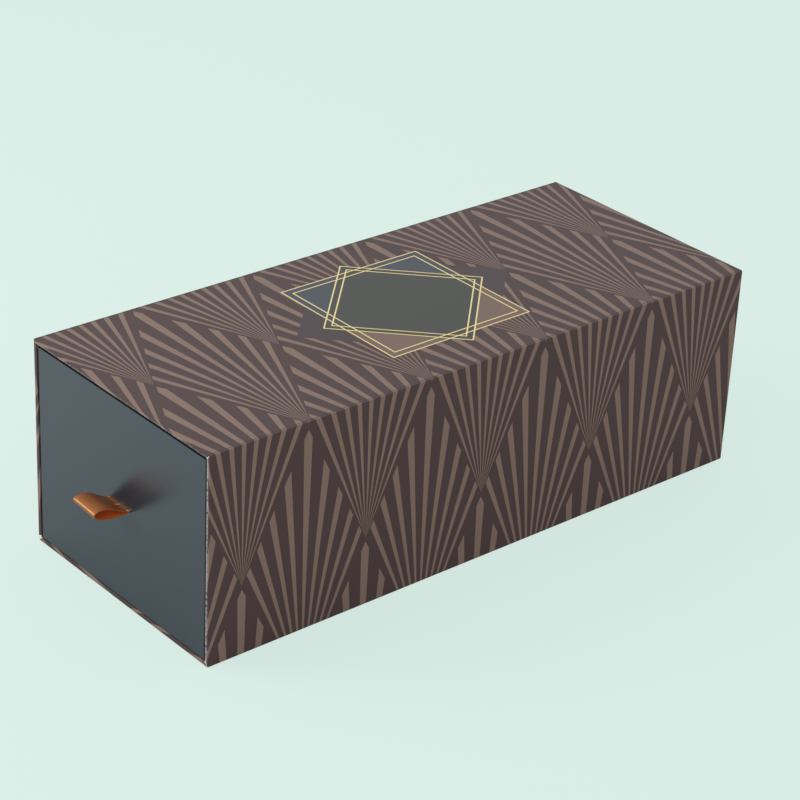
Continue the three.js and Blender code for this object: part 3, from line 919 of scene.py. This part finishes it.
def strap_line():
    """The strap's middle line as (outward, up): down behind the front, out by the slot, round the
    loop's tip, back by the slot, and down again."""
    ply = (STRAP_PLY_GAP + STRAP_THICKNESS) / 2
    tail_out = -(BOARD_BACK_DEPTH - STRAP_THICKNESS / 2)
    tail_end = ply + TAIL_LENGTH
    bend_out = tail_out + TAIL_BEND
    upper_bend = arc(bend_out, ply + TAIL_BEND, TAIL_BEND, math.pi, math.pi + QUARTER_TURN, BEND_STEPS)
    lower_bend = [(out, -up) for out, up in reversed(upper_bend)]
    tip = (LOOP_TIP_OUT, LOOP_TIP_RISE)
    top = (LOOP_TOP_OUT, LOOP_TOP_RISE)
    shoulder = (LOOP_TOP_OUT - LOOP_SHOULDER, LOOP_TOP_RISE)
    crown = (LOOP_TOP_OUT + LOOP_CROWN, LOOP_TOP_RISE)
    cheek = (LOOP_TIP_OUT, LOOP_TIP_RISE + LOOP_CHEEK)
    chin = (LOOP_TIP_OUT, LOOP_TIP_RISE - LOOP_CHIN)
    upper = bezier([(0, ply), (LOOP_NECK, ply), shoulder, top], LOOP_STEPS)
    turn = bezier([top, crown, cheek, tip], LOOP_STEPS)
    under = bezier([tip, chin, (LOOP_UNDER, -ply), (0, -ply)], LOOP_STEPS)
    tail = [(tail_out, tail_end * i / TAIL_STEPS) for i in range(TAIL_STEPS, 0, -1)]
    tail = [place for place in tail if place[1] > ply + TAIL_BEND]
    line = tail + upper_bend + upper + turn[1:] + under[1:] + lower_bend
    return line + [(out, -up) for out, up in reversed(tail)]


def strip_along(line):
    """The strap as a sheet without thickness, drawn out along its line from the end of one tail to the
    end of the other."""
    bpy.ops.object.select_all(action="DESELECT")
    middle = (line[0] + line[1]) / 2
    bpy.ops.mesh.primitive_plane_add(size=1, location=middle, rotation=(QUARTER_TURN, 0, 0))
    strap = bpy.context.object
    strap.name = "pull_strap"
    strap.scale = (STRAP_WIDTH, (line[0] - line[1]).length, 1)
    bpy.ops.object.transform_apply(location=True, rotation=True, scale=True)
    bpy.ops.object.mode_set(mode="EDIT")
    pick("edges", lambda edge: abs(edge.verts[0].co.x - edge.verts[1].co.x) > HALF * STRAP_WIDTH)
    bpy.ops.mesh.subdivide(number_cuts=STRAP_CUTS)
    pick("edges", lambda edge: at_height(edge, line[1].z))
    for before, after in zip(line[1:], line[2:]):
        bpy.ops.mesh.extrude_region_move(TRANSFORM_OT_translate={"value": after - before})
    bpy.ops.object.mode_set(mode="OBJECT")
    return strap


def settle_strap(strap, middle_x, face_y):
    """Lets the loop lean as it hangs, its left side a little higher towards the tip."""
    for vert in strap.data.vertices:
        out_share = max((face_y - vert.co.y) / LOOP_TIP_OUT, 0)
        vert.co.z += (middle_x - vert.co.x) / (STRAP_WIDTH / 2) * STRAP_LEAN * out_share


def make_strap():
    """The drawer's pull, one strip of leather. It is glued behind the front with both its tails, and its
    loop comes out by the slot."""
    low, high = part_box("drawer_wrap")
    face_y = low.y
    middle_x = (low.x + high.x) / 2
    line = [Vector((middle_x, face_y - out, STRAP_ROOT_HEIGHT + up)) for out, up in strap_line()]
    strap = strip_along(line)
    root = Vector((-middle_x, face_y, 0))
    for leather in LEATHERS:
        strap.data.materials.append(strap_leather(*leather, root))
    apply_modifier(
        strap, "SOLIDIFY", thickness=STRAP_THICKNESS, offset=0, use_even_offset=True,
        material_offset=1, material_offset_rim=2,
    )
    apply_modifier(
        strap, "BEVEL", width=STRAP_EDGE, segments=STRAP_EDGE_STEPS,
        limit_method="ANGLE", angle_limit=STRAP_EDGE_ANGLE,
    )
    settle_strap(strap, middle_x, face_y)
    shade(strap)
    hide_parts("pull_loop", "pull_upper_tail", "pull_lower_tail")
    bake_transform(strap)


def dress_cad_nodes():
    """Gives each CAD piece that still shows its real material."""
    finishes = {
        "sleeve_lining": brown_lining_paper(),
        "gold_foil_frame": gold_foil(),
        "sleeve_back_sheet": printed_paper("printed_back_sheet", upright_at_back),
        "sleeve_base_sheet": printed_paper("printed_base_sheet", along_base),
    }
    board = greyboard()
    tape = kraft_tape()
    slate = slate_lining_paper()
    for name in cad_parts:
        if name.endswith("_board"):
            finishes[name] = board
        elif "_tape_" in name:
            finishes[name] = tape
        elif name.startswith("drawer_") and name.endswith("_lining"):
            finishes[name] = slate
    for name, finish in finishes.items():
        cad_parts[name].material_slots[0].material = finish


make_camera()
make_light()
make_floor()
make_printed_wrap()
make_drawer_cover()
make_strap()
dress_cad_nodes()

bpy.context.scene.view_settings.view_transform = "Standard"
